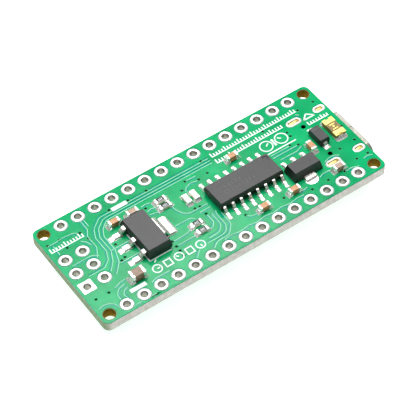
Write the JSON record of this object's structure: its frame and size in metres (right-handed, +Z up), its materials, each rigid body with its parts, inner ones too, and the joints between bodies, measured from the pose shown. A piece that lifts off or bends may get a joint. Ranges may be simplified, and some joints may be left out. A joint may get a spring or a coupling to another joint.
{
  "type": "microcontroller dev board",
  "caption": "Narrow microcontroller board with two rows of pin holes, a USB Type-C socket, regulators, a serial bridge chip and a reset button.",
  "frame": {"origin": "middle of the footprint, at the level of the socket shell's lowest face, which the part rests on", "axes": "+X along the board towards the USB socket, +Y towards the far row of pin holes, +Z up, normal to the board, out of the side with the serial bridge chip"},
  "size_m": [0.0446, 0.0178, 0.0063],
  "materials": {
    "board_laminate": "satin",
    "moulded_epoxy": "matte",
    "tinned_lead": "satin",
    "bare_steel": "satin",
    "gold_contact": "satin",
    "black_plastic": "satin",
    "button_plastic": "satin",
    "brown_ceramic": "satin",
    "fuse_laminate": "satin",
    "lamp_lens": "satin",
    "pale_capacitor": "satin",
    "brown_capacitor": "satin",
    "white_ceramic": "satin",
    "black_glaze": "satin",
    "solder": "satin",
    "white_ink": "satin"
  },
  "bodies": {
    "root": {"capacitor_1": "brown_capacitor", "capacitor_2": "pale_capacitor", "capacitor_3": "brown_capacitor", "capacitor_4": "brown_capacitor", "capacitor_5": "brown_capacitor", "capacitor_6": "brown_capacitor", "capacitor_7": "pale_capacitor", "capacitor_8": "brown_capacitor", "circuit_board": "board_laminate", "crystal_base": "brown_ceramic", "crystal_lid": "bare_steel", "diode_anode_lead": "tinned_lead", "diode_body": "moulded_epoxy", "diode_cathode_lead": "tinned_lead", "lower_capacitor_1": "pale_capacitor", "lower_capacitor_2": "pale_capacitor", "lower_capacitor_3": "brown_capacitor", "lower_capacitor_4": "brown_capacitor", "lower_capacitor_5": "brown_capacitor", "lower_capacitor_6": "brown_capacitor", "lower_resistor_1": "black_glaze", "lower_resistor_2": "black_glaze", "main_chip_body": "moulded_epoxy", "main_chip_leadframe": "tinned_lead", "main_regulator_body": "moulded_epoxy", "main_regulator_leadframe": "tinned_lead", "power_lamp": "lamp_lens", "receive_lamp": "lamp_lens", "reset_switch_base": "black_plastic", "reset_switch_cover": "bare_steel", "reset_switch_dome": "bare_steel", "reset_switch_terminal_1": "tinned_lead", "reset_switch_terminal_2": "tinned_lead", "resettable_fuse": "fuse_laminate", "resistor_1": "black_glaze", "resistor_2": "black_glaze", "resistor_3": "black_glaze", "resistor_4": "black_glaze", "resistor_5": "white_ceramic", "resistor_6": "white_ceramic", "resistor_array_1": "black_glaze", "resistor_array_2": "black_glaze", "serial_bridge_body": "moulded_epoxy", "serial_bridge_leadframe": "tinned_lead", "small_regulator_body": "moulded_epoxy", "small_regulator_leadframe": "tinned_lead", "transmit_lamp": "lamp_lens", "usb_contacts_board_side": "gold_contact", "usb_contacts_far_side": "gold_contact", "usb_insulator": "black_plastic", "usb_mid_plate": "bare_steel", "usb_shell": "bare_steel", "user_lamp": "lamp_lens"},
    "reset_plunger": {"reset_button": "button_plastic"}
  },
  "joints": [
    {"name": "reset_press", "type": "slide", "parent": "root", "child": "reset_plunger", "axis": [0, 0, 1], "range_m": [0, 0.00025], "stiffness_N_per_m": 8000, "deforming": ["reset_switch_dome"]}
  ]
}
